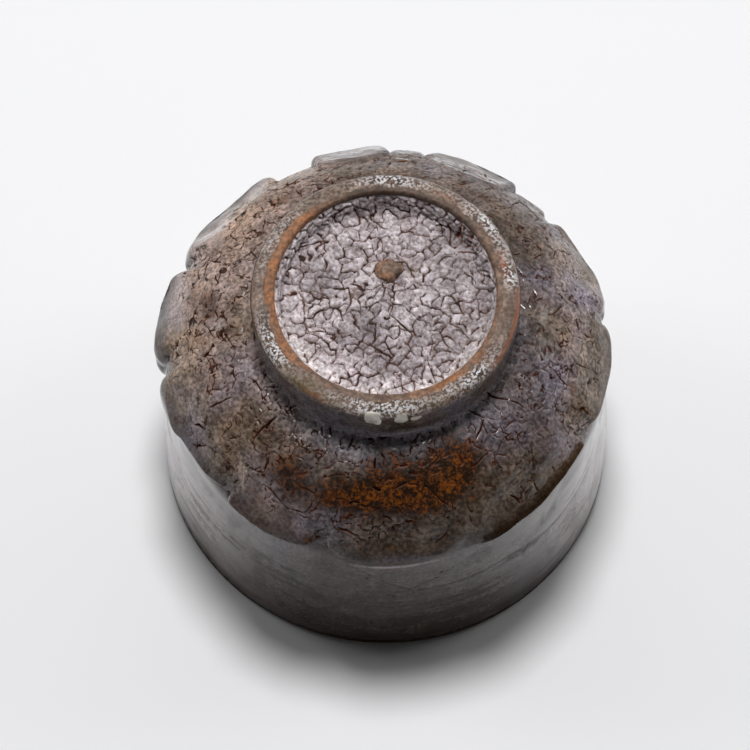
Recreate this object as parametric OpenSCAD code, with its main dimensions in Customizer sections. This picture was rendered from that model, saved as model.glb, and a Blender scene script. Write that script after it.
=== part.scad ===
// A hand-carved sake cup that stands on its lip, with its foot ring up.
// The origin is on the axis, at the surface that the lip stands on, and +Z points out of the foot.
// The front, at -Y, is the side with the pointed petal and the white beads of glaze.

/* [Bowl] */
// Height from the lip to the tread of the foot
cup_h = 49.2; // [48:0.2:54]
// Outer diameter at the lip
lip_d = 63; // [61:0.5:66]
// Width of the clay lip
lip_w = 2.8; // [2.4:0.1:3.4]
// Radius that rounds both edges of the lip
lip_round = 0.9; // [0.6:0.05:1]
// Outer diameter at the waist, just under the petals
waist_d = 60; // [59:0.5:61]
// Height of the shoulder from the waist to the root of the foot
shoulder_h = 13.2; // [12:0.2:15]
// Width of the clay wall between the waist and the bowl
wall_w = 2.5; // [2:0.1:4]
// Height above the lip at which the inside starts to close
bowl_z = 16; // [12:0.5:19]
// Thickness of the clay between the bowl and the well of the foot
floor_t = 5.2; // [4:0.1:6]

/* [Foot ring] */
// Outer diameter of the foot ring near its tread
foot_d = 35.6; // [34:0.2:38]
// Height of the foot ring above the shoulder
foot_h = 8; // [7:0.1:9]
// How much the foot narrows on each side towards its root
foot_flare = 0.3; // [0:0.05:0.8]
// Radius of the glaze that pooled around the root of the foot
root_pool = 0.8; // [0.5:0.05:1.2]
// Width of the ring at its tread
foot_w = 3.2; // [2.8:0.1:4]
// Radius of the tread's outer edge
tread_round = 1.5; // [1.2:0.05:1.8]
// Radius of the tread's inner edge
well_round = 0.5; // [0.3:0.05:0.7]
// Depth of the well from the tread to its glazed floor
well_depth = 3.8; // [3:0.1:4.5]
// Radius between the well's wall and its floor
well_fillet = 1.4; // [0.8:0.1:1.8]
// How much the well narrows on each side towards its floor
well_taper = 0.6; // [0.2:0.05:1]
// Rise of the well's floor towards the middle
well_crown = 0.3; // [0.1:0.05:0.6]

/* [Nub in the well] */
// Diameter of the nub that the turning tool left
nub_d = 2.8; // [2:0.1:4]
// Height of the nub above the glazed floor
nub_h = 0.9; // [0.5:0.05:1.2]
// Distance of the nub from the axis
nub_offset = 4.8; // [0:0.1:7]

/* [Carved petals] */
// Diameter over the edges of the proudest petals
ridge_d = 63; // [62.4:0.2:65]
// Height of the petals' edges above the waist
ridge_h = 3; // [2:0.2:4]
// Depth below the root of the foot at which the carving runs out on the shoulder
petal_fade = 1.4; // [1:0.1:2]
// How far the longest petal hangs below the others
petal_drop = 12; // [6:0.5:14]
// Stand of a petal's hanging tip over the wall
tip_proud = 0.5; // [0.3:0.05:0.8]
// Depth of the flat that the knife left on each petal
facet_cut = 0.5; // [0.2:0.05:0.8]
// Angle of that flat above the horizontal
facet_tilt = 36; // [30:1:42]

/* [Glaze] */
// Thickness of the coat outside
glaze_t = 0.5; // [0.3:0.05:0.6]
// Thickness of the coat inside the bowl
lining_t = 0.4; // [0.3:0.05:0.6]
// Thickness of the coat in the well of the foot
well_glaze_t = 0.55; // [0.3:0.05:0.7]
// Thickness of the thin coat on the tread
tread_glaze_t = 0.3; // [0.2:0.05:0.4]
// Height of bare clay above the lip
bare_lip = 1.2; // [1.1:0.1:2]
// Width of the bare band along the inside of the tread
bare_band = 1.2; // [1:0.05:1.3]
// Depth below the tread at which the well's coat ends
bare_well = 0.8; // [0.75:0.05:1.2]
// Depth below the tread at which the outer coat meets the tread's coat
tread_line = 1; // [0.7:0.05:1.1]
// Diameter of the largest bead of white glaze
bead_d = 2.9; // [2.6:0.1:3]
// How far the beads stand proud of the foot
bead_proud = 0.4; // [0.3:0.05:0.7]
// Depth of the beads' middles below the tread
bead_z = 1.6; // [1.6:0.1:2.2]

/* [Hidden] */
$fn = 96;
// The beads are thin, so their facets are finer
bead_fn = 240;
// Overrun of every cut past the face that it opens
over = 1;
lip_r = lip_d / 2;
waist_r = waist_d / 2;
foot_r = foot_d / 2;
root_r = foot_r - foot_flare;
root_z = cup_h - foot_h;
waist_z = root_z - shoulder_h;
ridge_r = ridge_d / 2;
ridge_z = waist_z + ridge_h;
well_r = foot_r - foot_w;
well_z = cup_h - well_depth;
mouth_r = lip_r - glaze_t - lip_w;
bowl_r = waist_r - glaze_t - wall_w;
bowl_top = well_z - well_glaze_t - floor_t - lining_t;
band_r = well_r + bare_band;
// The coats' outer face runs out of the petals to this height on the shoulder
carve_top = root_z - petal_fade;

// Powers that shape the shoulder outside and the bottom of the bowl inside
shoulder_power = 1.1;
bowl_power = 0.85;
shoulder_steps = 8;
bowl_steps = 8;
round_steps = 4;

// The wall between lip and waist: share of the height, share of the narrowing
wall_shares = [[0, 0], [0.35, 0.25], [0.65, 0.7], [0.85, 0.95], [1, 1]];

// One row for each petal: the angles where it starts and ends, how far its edge hangs at its start,
// middle and end as shares of petal_drop, and its stand as a share of the proudest petal's
petal_shares = [
    [190, 221, 0.4, 0.05, 0, 0.55],
    [228, 251, 0, 0, 0, 0.7],
    [260, 288, 0, 1, 0.4, 0.65],
    [296, 328, 0, 0.05, 0, 0.65],
    [340, 365, 0, 0.1, 0.2, 0.45],
    [373, 398, 0.3, 0.1, 0, 0.4],
    [404, 412, 0.2, 0.1, 0, 0.25],
    [415, 437, 0, 0.1, 0.2, 0.75],
    [440, 447, 0.1, 0.1, 0, 0.65],
    [450, 469, 0.2, 0, 0, 0.95],
    [483, 513, 0, 0.1, 0.2, 0.85],
    [520, 541, 0, 0.2, 0.5, 1]
];
// Share of a petal's width that is left where the carving runs out
petal_top_share = 0.8;

// The beads of white glaze: angle, then share of bead_d
bead_shares = [[265.5, 1], [275.5, 0.85], [282, 0.6]];
// Angle of the nub around the axis
nub_angle = 86;
// Turns the seam of each bead's ball inwards, where the foot hides it
half_turn = 180;

// Points on an arc, or on an oval when its two radii differ
function arc(middle, radii, from, to) = [
    for (i = [0 : round_steps])
        let (a = from + (to - from) * i / round_steps)
            [middle.x + radii.x * cos(a), middle.y + radii.y * sin(a)]
];

// Points on a quarter of a rounded square from its side to its top
function shoulder(middle, size, power, steps) = [
    for (i = [0 : steps])
        let (a = 90 * i / steps)
            [middle.x + size.x * pow(cos(a), power), middle.y + size.y * pow(sin(a), power)]
];

// Outer radius of the wall at a height between lip and waist
function wall_r(z) = lip_r - (lip_r - waist_r) * lookup(z / waist_z, wall_shares);

// The outside of the cup without its petals. The glazed face is at inset 0 and top_inset 0, and the
// clay face lies under the coats.
module turned_outside(inset, top_inset) {
    wall = [
        for (i = [1 : len(wall_shares) - 1])
            [wall_r(waist_z * wall_shares[i][0]) - inset, waist_z * wall_shares[i][0]]
    ];
    // Only the glaze pools at the root, and the clay under it has a plain corner
    pool = inset == 0 ? root_pool : 0;
    dome = shoulder([root_r, waist_z], [waist_r - root_r - inset, root_z - waist_z - inset],
                    shoulder_power, shoulder_steps);
    tread = arc([foot_r - tread_round, cup_h - tread_round],
                [tread_round - inset, tread_round - top_inset], 0, 90);
    rotate_extrude()
        polygon(concat(
            [[0, 0]],
            arc([lip_r - inset - lip_round, lip_round], [lip_round, lip_round], -90, 0),
            wall,
            [for (i = [1 : shoulder_steps - 1]) dome[i]],
            arc([root_r - inset + pool, root_z - inset + pool], [pool, pool], 270, 180),
            tread,
            [[0, cup_h - top_inset]]
        ));
}

// The ring from which a petal is carved, from the longest tip up to the shoulder
module petal_ring(crest_r, inset) {
    crest_z = (waist_z + ridge_z) / 2;
    dome = shoulder([root_r, crest_z], [crest_r - root_r - inset, carve_top - crest_z - inset],
                    shoulder_power, shoulder_steps);
    tip_z = ridge_z - petal_drop - over;
    rotate_extrude()
        polygon(concat(
            [[0, tip_z], [wall_r(tip_z) + tip_proud - inset, tip_z]],
            dome
        ));
}

// The outline of one petal seen from outside, as wide as its two angles span
module petal_outline(span, drops, inset) {
    half = ridge_r * sin(span / 2) - inset;
    edge = [for (d = drops) ridge_z - petal_drop * d + inset];
    polygon([
        [-half, edge[0]],
        [0, edge[1]],
        [half, edge[2]],
        [half * petal_top_share, carve_top],
        [-half * petal_top_share, carve_top]
    ]);
}

// One petal: its outline cut through the ring, with a flat where the knife passed
module petal(row, inset) {
    middle = (row[0] + row[1]) / 2;
    crest_r = waist_r + (ridge_r - waist_r) * row[5];
    rotate([0, 0, middle])
        difference() {
            intersection() {
                petal_ring(crest_r, inset);
                translate([root_r, 0, 0])
                    rotate([90, 0, 90])
                        linear_extrude(height = ridge_r)
                            petal_outline(row[1] - row[0], [row[2], row[3], row[4]], inset);
            }
            translate([crest_r - facet_cut, 0, ridge_z])
                rotate([0, -facet_tilt, 0])
                    translate([-inset, -ridge_r, -ridge_r])
                        cube([ridge_r, ridge_d, ridge_d]);
        }
}

// The whole outside, with its petals
module carved_outside(inset, top_inset) {
    union() {
        turned_outside(inset, top_inset);
        for (row = petal_shares) petal(row, inset);
    }
}

// The space inside the bowl, larger by the lining where the clay is meant
module bowl_space(grow) {
    hollow = shoulder([0, bowl_z], [bowl_r + grow, bowl_top - bowl_z + grow], bowl_power, bowl_steps);
    rotate_extrude()
        polygon(concat(
            [[0, -over], [mouth_r + lip_round + grow, -over]],
            arc([mouth_r + lip_round + grow, lip_round], [lip_round, lip_round], 270, 180),
            [for (i = [0 : bowl_steps - 1]) hollow[i]],
            [[0, bowl_top + grow]]
        ));
}

// The space of the well, larger by its coat where the clay is meant
module well_space(grow) {
    rotate_extrude()
        polygon(concat(
            [[0, cup_h + over], [well_r + well_round + grow, cup_h + over]],
            arc([well_r + well_round + grow, cup_h - well_round], [well_round, well_round], 90, 180),
            arc([well_r - well_taper - well_fillet, well_z + well_fillet],
                [well_fillet + grow, well_fillet + grow], 0, -90),
            [[0, well_z + well_crown - grow]]
        ));
}

// A slab wider than the cup, between two heights
module level(bottom, top) {
    translate([0, 0, bottom]) cylinder(r = ridge_r + lip_r, h = top - bottom);
}

// The nub rises through the well's coat
module nub() {
    rotate([0, 0, nub_angle])
        translate([nub_offset, 0, well_z + well_crown + nub_h - nub_d / 2])
            sphere(d = nub_d);
}

// The bare band, up to a height past the tread
module bare_ring(past) {
    translate([0, 0, cup_h - tread_round]) cylinder(r = band_r, h = tread_round + past);
}

// The clay's outside, with the bare band flush with the thin coat on the tread
module clay_outside() {
    union() {
        carved_outside(glaze_t, tread_glaze_t);
        bare_ring(0);
    }
}

module stoneware_body() {
    color("#6e4a36")
        union() {
            difference() {
                clay_outside();
                bowl_space(0);
                intersection() {
                    bowl_space(lining_t);
                    level(bare_lip, cup_h);
                }
                well_space(0);
                intersection() {
                    well_space(well_glaze_t);
                    level(0, cup_h - bare_well);
                }
            }
            nub();
        }
}

module outer_glaze() {
    color("#6f6662")
        difference() {
            intersection() {
                carved_outside(0, 0);
                level(bare_lip, cup_h - tread_line);
            }
            clay_outside();
        }
}

module inner_glaze() {
    color("#857b74")
        difference() {
            intersection() {
                bowl_space(lining_t);
                level(bare_lip, cup_h);
            }
            bowl_space(0);
        }
}

module foot_well_glaze() {
    color("#b6abaa")
        difference() {
            intersection() {
                well_space(well_glaze_t);
                level(0, cup_h - bare_well);
            }
            well_space(0);
            nub();
        }
}

module tread_glaze() {
    color("#93877d")
        difference() {
            intersection() {
                turned_outside(0, 0);
                level(cup_h - tread_line, cup_h + over);
            }
            turned_outside(glaze_t, tread_glaze_t);
            bare_ring(over);
        }
}

// What stands proud of the foot, of a ball of glaze that ran over its edge
module bead(row) {
    $fn = bead_fn;
    difference() {
        rotate([0, 0, row[0]])
            translate([foot_r + bead_proud - bead_d * row[1] / 2, 0, cup_h - bead_z])
                rotate([0, 0, half_turn])
                    sphere(d = bead_d * row[1]);
        turned_outside(0, 0);
    }
}

module left_bead() {
    color("#d2cbc1") bead(bead_shares[0]);
}

module middle_bead() {
    color("#d2cbc1") bead(bead_shares[1]);
}

module right_bead() {
    color("#b9aea2") bead(bead_shares[2]);
}

stoneware_body();
outer_glaze();
inner_glaze();
foot_well_glaze();
tread_glaze();
left_bead();
middle_bead();
right_bead();
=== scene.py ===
import math
from types import SimpleNamespace

import bmesh
import bpy
import numpy as np
from mathutils import Matrix, Vector


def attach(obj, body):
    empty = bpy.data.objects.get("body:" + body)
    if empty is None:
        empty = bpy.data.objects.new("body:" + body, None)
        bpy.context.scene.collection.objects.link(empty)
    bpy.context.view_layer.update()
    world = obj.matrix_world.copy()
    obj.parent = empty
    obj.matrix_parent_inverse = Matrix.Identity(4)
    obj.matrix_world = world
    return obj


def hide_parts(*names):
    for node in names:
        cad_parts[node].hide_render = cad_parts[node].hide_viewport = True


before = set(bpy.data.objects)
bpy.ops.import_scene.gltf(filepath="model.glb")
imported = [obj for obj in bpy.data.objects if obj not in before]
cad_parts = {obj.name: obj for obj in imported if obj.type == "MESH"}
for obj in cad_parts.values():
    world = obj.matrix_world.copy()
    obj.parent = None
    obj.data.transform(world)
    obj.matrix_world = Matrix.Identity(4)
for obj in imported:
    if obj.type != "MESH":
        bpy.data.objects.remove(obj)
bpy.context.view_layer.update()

# Sizes are in millimetres and angles in degrees, up to where a mesh is made.
MM = 0.001
TURN = 2 * math.pi
CURVE_STEP = 0.02
SAME = 0.01

# The thrown and turned form
CUP_H = 49.2
LIP_R = 31.5
LIP_ROUND = 0.9
LIP_IN_R = 28.2
WAIST_R = 30.0
WAIST_Z = 28.0
ROOT_R = 17.5
ROOT_Z = 41.2
ROOT_POOL = 0.8
ROOT_HOLD = (39.5, 41.0)
FOOT_R = 17.8
TREAD_ROUND = 1.5
TREAD_LINE_Z = 48.2
BARE_LIP = 1.2
WALL_SHARES = ((0, 0), (0.35, 0.25), (0.65, 0.7), (0.85, 0.95), (1, 1))
SHOULDER_POWER = 1.1
COAT_T = 0.45
MOST_R = 31.46

# The bowl inside
BOWL_R = 27.0
BOWL_Z = 16.0
BOWL_TOP = 39.65
BOWL_POWER = 0.85

# The well of the foot
WELL_R = 14.6
WELL_FLOOR_Z = 45.4
WELL_CROWN = 0.3
WELL_TAPER = 0.6
WELL_FILLET = 1.4
WELL_ROUND = 0.5
WELL_COAT_TOP = 48.4
WELL_COAT_T = 0.5

# The nub in the well, and the hollow in the coat round it as x, y and radius
NUB_AT = (0.335, 4.79, 45.55)
NUB_R = 1.75
NUB_SQUASH = (0.98, 0.95, 0.68)
NUB_HOLLOW = (0.33, 4.79, 1.8)

# The coat on the tread: where it starts, how far it lies below the top there, and its least angle
TREAD_IN_R = 14.95
TREAD_FALL = 0.04
TREAD_LEAST_TURN = 19.5

# The white beads: piece, node, angle and share of the full size
BEAD_R = 1.45
BEAD_SQUASH = (0.40, 0.92, 0.80)
BEAD_SQUARENESS = 0.62
BEAD_TILT = -0.5
BEAD_IN = 0.42
BEAD_DROP = 1.25
BEADS = (
    ("left_white_bead", "left_bead", 265.0, 0.86),
    ("middle_white_bead", "middle_bead", 276.3, 0.74),
    ("right_white_bead", "right_bead", 283.0, 0.6),
)

# The carved petals: angles where each starts and ends, hang of its edge at start, middle and end,
# stand over the waist, darkness of its edge where the coat broke thin, smoothness of its flat, and
# how far it takes to rise to its full stand from either end
RIDGE_Z = 31.0
RIDGE_R = 31.5
RIDGE_FOOT = (31.05, 18.0)
EDGE_ROLL = 0.8
CARVE_TOP = 39.8
FACET_CUT = 0.5
FACET_TILT = 36.0
PETAL_TOP_SHARE = 0.8
LEDGE_Z = 30.3
POINTED_HANG = 10
MOST_STAND = 2.4
WANDER_R = 31.0
PETALS = (
    (189, 222, 4.8, 0.6, 0.0, 0.90, 0.25, 0.55, 2.0, 4.0),
    (227, 251, 0.6, 1.2, 0.6, 1.10, 0.25, 0.95, 1.2, 2.2),
    (257, 296, 0.0, 12.0, 3.0, 0.98, 0.05, 0.30, 4.5, 5.5),
    (289, 331, 1.8, 0.6, -0.4, 1.20, 1.00, 0.75, 8.0, 0.7),
    (339, 366, 0.0, 1.2, 2.4, 0.80, 0.20, 0.60, 1.6, 2.4),
    (372, 398, 3.6, 1.2, 0.0, 0.75, 0.30, 0.60, 2.4, 1.6),
    (403, 413, 2.4, 1.2, 0.0, 0.50, 0.20, 0.50, 1.2, 1.2),
    (414, 438, 0.0, 1.2, 2.4, 1.13, 0.30, 0.85, 1.4, 2.4),
    (439, 448, 1.2, 1.2, 0.0, 0.98, 0.30, 0.70, 1.0, 1.4),
    (449, 470, 2.4, 0.0, 0.0, 1.43, 0.30, 0.90, 2.4, 1.4),
    (482, 514, 0.0, 1.2, 2.4, 1.28, 0.30, 0.90, 1.6, 2.4),
    (519, 542, 0.0, 2.4, 6.0, 1.50, 0.30, 0.75, 1.4, 3.0),
)

# Long cracks that opened wide, as angle and height at one end and the other, and width
LONG_CRACKS = (
    (191, 37.4, 190, 39.9, 0.34),
    (198, 36.8, 197, 39.0, 0.28),
    (120, 36.3, 121, 39.3, 0.30),
    (112, 37.0, 110, 39.2, 0.22),
    (135, 38.0, 137, 39.6, 0.22),
    (173, 38.4, 177, 39.8, 0.24),
    (339, 38.0, 337, 36.2, 0.34),
    (337, 36.2, 338, 32.4, 0.38),
    (328, 40.3, 328, 39.2, 0.26),
    (322, 39.9, 326, 36.8, 0.26),
    (314, 40.6, 316, 39.1, 0.30),
    (305, 39.5, 307, 38.3, 0.28),
    (336, 40.0, 335, 38.0, 0.24),
    (213, 39.8, 232, 40.3, 0.22),
    (216, 38.4, 219, 36.4, 0.26),
    (50, 40.0, 47, 37.8, 0.28),
    (62, 38.6, 70, 39.4, 0.22),
    (232, 38.2, 236, 36.6, 0.24),
)

# Knife lines under the pointed petal's ledge, given in the same way
KNIFE_LINES = (
    (260.5, 27.0, 267.5, 21.0, 0.30),
    (267.5, 21.0, 274.0, 15.8, 0.22),
    (274.0, 15.8, 279.5, 20.5, 0.26),
    (279.5, 20.5, 285.0, 26.5, 0.36),
)

# Soft spots of colour, as strength, angle, height, width in degrees and height of the spot. On the
# tread a spot's distance from the axis stands where its height does.
RUST_SPOTS = (
    (0.9, 285, 38.6, 12, 1.9),
    (0.8, 270, 38.4, 10, 1.8),
    (0.8, 296, 39.9, 8, 1.4),
    (0.6, 255, 37.8, 8, 1.7),
    (0.5, 240, 37.2, 6, 1.7),
    (0.7, 251, 32.0, 2.0, 0.7),
    (0.3, 178, 38.5, 14, 2.4),
    (0.2, 205, 38.4, 12, 2.0),
    (0.2, 228, 39.0, 10, 2.0),
    (0.25, 140, 38.6, 14, 2.0),
    (0.4, 268, 32.3, 10, 0.8),
    (0.6, 286, 31.6, 1.5, 0.6),
)
LILAC_SPOTS = ((1, 247, 34.0, 5, 2.2), (1, 273, 30.6, 10, 0.6))
WARM_SPOTS = ((0.65, 150, 38, 50, 5), (0.35, 60, 38, 50, 5))
# Pooled glaze in the groove under the foot, made pale as painted light where the groove lies in
# shade
POOL_AND_LIGHT_SPOTS = ((1, 275, 41.9, 42, 1.3), (0.2, 205, 43.5, 26, 1.6))
# Sparkling bands on the tread, lumpy and glossy, with white glints painted in them
TREAD_SPARKS = (
    (1, 207, 16.6, 12, 1.0),
    (1, 268, 16.7, 19, 1.0),
    (1, 313, 16.7, 13, 0.9),
    (0.9, 9, 16.6, 6, 1.1),
    (1, 35, 16.8, 14, 1.0),
    (0.9, 87, 16.6, 14, 1.0),
    (0.35, 150, 16.6, 16, 1.0),
)
TREAD_RUST = (
    (1, 352, 17.5, 14, 0.35),
    (0.8, 330, 17.6, 10, 0.35),
    (0.5, 185, 17.6, 20, 0.35),
    (0.7, 14, 15.9, 9, 0.7),
    (0.4, 60, 16.0, 12, 0.6),
    (0.5, 238, 17.3, 8, 0.5),
)
TREAD_OLIVE = ((1, 233, 17.2, 12, 1.0), (0.8, 292, 17.2, 7, 0.8))
# Painted shade at the back of the well's rim
CLAY_SHADE = ((1, 95, 14.7, 22, 0.9), (0.6, 50, 14.7, 14, 0.7))

# Where the kiln flashed the bare clay orange round the tread, as strength, angle and width
FLASHES = (
    (1, 180, 30),
    (1, 140, 20),
    (0.6, 220, 22),
    (0.1, 262, 14),
    (1, 303, 24),
    (0.25, 345, 18),
    (0.12, 22, 20),
)

# Spots in the well, as strength, x, y and size
WELL_DUSK = (
    (0.75, -1.6, -3.6, 2.4),
    (0.6, -0.6, -7.8, 2.2),
    (0.45, -5.0, -5.5, 2.4),
    (0.5, 3.4, -9.0, 2.4),
    (0.35, -9.0, 4.0, 3.0),
)
WELL_RED = ((1, 11.2, 8.0, 1.2), (1, 9.9, 10.2, 0.9), (1, -12.0, 1.2, 0.9))
WELL_OLIVE = ((0.5, 0.3, 4.8, 2.0), (1, 3.8, 4.9, 0.9), (0.8, -4.2, 1.2, 1.0))

# Heights between which the coat starts to crawl, in the gaps between petals and on the shoulder,
# and those between which it stops below the foot and the foot's own side begins
GAP_FADE = (29.5, 31.5)
SHOULDER_FADE = (31.0, 34.0)
ROOT_FADE = (41.2, 42.2)
SIDE_FADE = (41.6, 42.6)
CRACKED_FROM = 20.0
DRY_LEVEL = 0.3
LEAST_RUST = 0.06

# How finely the coats are worked
WEDGE = 40
AROUND = 30 * WEDGE
TREAD_AROUND = 23 * WEDGE
CLAY_AROUND = 18 * WEDGE
WELL_AROUND = 16 * WEDGE
BANDS = (
    ("wall_coat", 1.2, 18.0, 0.26),
    ("waist_coat", 18.0, 26.0, 0.20),
    ("petal_coat", 26.0, 32.0, 0.13),
    ("shoulder_coat", 32.0, 36.6, 0.13),
    ("root_coat", 36.6, 40.4, 0.13),
    ("foot_coat", 40.4, 48.2, 0.15),
)

# The photograph's view, with lengths in metres, and the lamps: place, breadth and power
VIEW_LIFT = 65.73
VIEW_AWAY = 0.48
VIEW_AIM = (0, 0, 0.02458)
LENS = 167.84
SENSOR = 36.0
SHIFT = (-0.01396, -0.00837)
LAMPS = (
    ("top_lamp", (0.0, 0.155, 0.75), 0.20, 4.4),
    ("left_lamp", (-0.48, 0.20, 0.38), 0.26, 0.55),
    ("right_lamp", (0.48, 0.20, 0.38), 0.26, 0.5),
)
LAMP_AIM = (0, 0, 0.02)
BACKDROP = (0.885, 0.885, 0.90)


# ----- steady chance, clouds and plates


CHANCE = np.random.default_rng(11).random(64**3, dtype=np.float32)


def length_of(steps):
    """The length of each step between points."""
    return np.sqrt((steps**2).sum(axis=-1))


def round_cup(r, turn, z):
    """Points at a radius, an angle in radians and a height."""
    return np.stack([r * np.cos(turn), r * np.sin(turn), z], axis=-1)


def cloud(points, size, salt):
    """Soft blotches from -1 to 1, about size across. Each salt gives a pattern of its own."""
    q = points / size + salt * np.array((0.37, 1.18, 2.71))
    base = np.floor(q)
    f = q - base
    f = f * f * (3 - 2 * f)
    base = base.astype(np.int64)
    x, y, z = ([((base[..., i] + j) & 63) * 64 ** (2 - i) for j in (0, 1)] for i in range(3))

    def along(i, j):
        a, b = CHANCE.take(x[i] + y[j] + z[0]), CHANCE.take(x[i] + y[j] + z[1])
        return a + (b - a) * f[..., 2]

    low, high = along(0, 0), along(1, 0)
    low = low + (along(0, 1) - low) * f[..., 1]
    high = high + (along(1, 1) - high) * f[..., 1]
    return (low + (high - low) * f[..., 0]) * 2 - 1


def clouds(points, size, salt, layers=3):
    """Blotches with finer blotches in them."""
    total, weight, whole = 0.0, 1.0, 0.0
    for i in range(layers):
        total = total + weight * cloud(points, size / 2**i, salt + i)
        whole += weight
        weight *= 0.5
    return total / whole * 1.4


def stirred(points, size, reach, salt):
    """The points pushed about, so that a pattern laid on them wanders."""
    push = np.stack([cloud(points, size, salt + i) for i in range(3)], axis=-1)
    return points + push * reach


def plate_middles(sheet, size, salt, low, high):
    """Middles for plates of about one size, in staggered rings round the cup between two rows."""
    rng = np.random.default_rng(salt)
    run, middles = sheet.run, []
    for ring in np.arange(run[low] + size * 0.3, run[high] + size * 0.4, size * 0.87):
        count = max(1, int(round(TURN * np.interp(ring, run, sheet.rows[:, 0]) / size)))
        turn = (np.arange(count) + rng.uniform(-0.33, 0.33, count)) / count * TURN
        turn += rng.uniform(0, TURN)
        at = np.clip(ring + rng.uniform(-0.33, 0.33, count) * size, run[low], run[high])
        r, z = (np.interp(at, run, sheet.rows[:, i]) for i in (0, 1))
        middles.append(round_cup(r, turn, z))
    return np.concatenate(middles)


def plates(sheet, size, salt, low=0, high=-1, stir=0.3):
    """Plates of crazed glaze. Gives each point's distance to the nearest crack, that crack's own
    chance of opening, the plate's own chance, the distance to the plate's middle, and how far the
    point is from where three plates meet."""
    points = stirred(sheet.points, size * 0.85, size * stir, salt + 1)
    points = stirred(points, size * 0.3, size * stir * 0.25, salt + 5)
    middles = plate_middles(sheet, size, salt, low, high)
    steps = points.shape[1]
    near = np.full(points.shape[:2], 99.0)
    next_, third = near.copy(), near.copy()
    near_id = np.zeros(near.shape, np.int64)
    next_id = near_id.copy()
    reach = size * (1.6 + stir)
    for number, middle in enumerate(middles):
        r = math.hypot(middle[0], middle[1])
        column = int(math.atan2(middle[1], middle[0]) / TURN * steps) % steps
        half = int(reach / max(r, 0.01) / TURN * steps) + 1
        along = np.abs(sheet.rows[:, 0] - r) + np.abs(sheet.rows[:, 1] - middle[2])
        rows = np.nonzero(along < reach * 1.4)[0]
        rows = slice(rows[0], rows[-1] + 1)
        if 2 * half + 1 >= steps:
            spans = [slice(0, steps)]
        else:
            # Columns past either end come round again
            first, last = column - half, column + half + 1
            spans = [slice(max(first, 0), min(last, steps))]
            if first < 0:
                spans.append(slice(steps + first, steps))
            if last > steps:
                spans.append(slice(0, last - steps))
        for span in spans:
            d = length_of(points[rows, span] - middle)
            a, b, c = near[rows, span], next_[rows, span], third[rows, span]
            a_id, b_id = near_id[rows, span], next_id[rows, span]
            first_, second_ = d < a, d < b
            np.copyto(c, np.minimum(c, np.where(second_, b, d)))
            np.copyto(b, np.where(first_, a, np.where(second_, d, b)))
            np.copyto(b_id, np.where(first_, a_id, np.where(second_, number, b_id)))
            np.copyto(a, d, where=first_)
            np.copyto(a_id, number, where=first_)
    line = middles[next_id] - middles[near_id]
    length = length_of(line) + 1e-6
    halfway = (middles[next_id] + middles[near_id]) / 2
    gap = np.abs(((halfway - points) * line).sum(axis=-1)) / length
    pair = near_id * next_id + 31 * (near_id + next_id) + salt
    opened = CHANCE.take(pair * 7919 % CHANCE.size)
    own = CHANCE.take((near_id * 104729 + salt) % CHANCE.size)
    return gap, opened, own, near, third - near


def ramp(x, low, high):
    """0 below low, 1 above high, and smooth between."""
    t = np.clip((x - low) / (high - low), 0, 1)
    return t * t * (3 - 2 * t)


def apart(angle, middle):
    """Degrees from one angle round to another, from -180 to 180."""
    return (angle - middle + 180) % 360 - 180


def patch(angle, height, middle, at, wide, tall):
    """A soft spot on the cup, 1 in its middle, fading over its width in degrees and its height."""
    return np.exp(-((apart(angle, middle) / wide) ** 2) - ((height - at) / tall) ** 2)


def spots(angle, height, table):
    """A table's soft spots, summed."""
    total = 0
    for strength, *spot in table:
        total = total + strength * patch(angle, height, *spot)
    return total


def sector(angle, middle, wide):
    """1 at an angle and fading over a width to either side, at any height."""
    return patch(angle, 0, middle, 0, wide, 1)


# ----- the outside's outline


def run_along(points):
    """How far along a section each of its points lies."""
    return np.concatenate([[0], np.cumsum(np.hypot(*np.diff(points, axis=0).T))])


def at_runs(points, runs):
    """The places at the given distances along a section."""
    run = run_along(points)
    return np.stack([np.interp(runs, run, points[:, i]) for i in (0, 1)], axis=1)


def spaced(points, spacing):
    """A section's points at an even spacing."""
    points = np.asarray(points, float)
    length = run_along(points)[-1]
    return at_runs(points, np.linspace(0, length, max(2, int(round(length / spacing)) + 1)))


def rows_between(curve, low, high, spacing):
    """Evenly spaced rows of the curve between two heights, both ends included."""
    return spaced(curve[(curve[:, 1] >= low - 1e-6) & (curve[:, 1] <= high + 1e-6)], spacing)


def arc(middle, radius, a):
    """Points of a round, at angles in radians."""
    return np.stack([middle[0] + radius * np.cos(a), middle[1] + radius * np.sin(a)], axis=1)


def arc_points(middle, radius, start, end, count):
    return arc(middle, radius, np.radians(np.linspace(start, end, count)))


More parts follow.
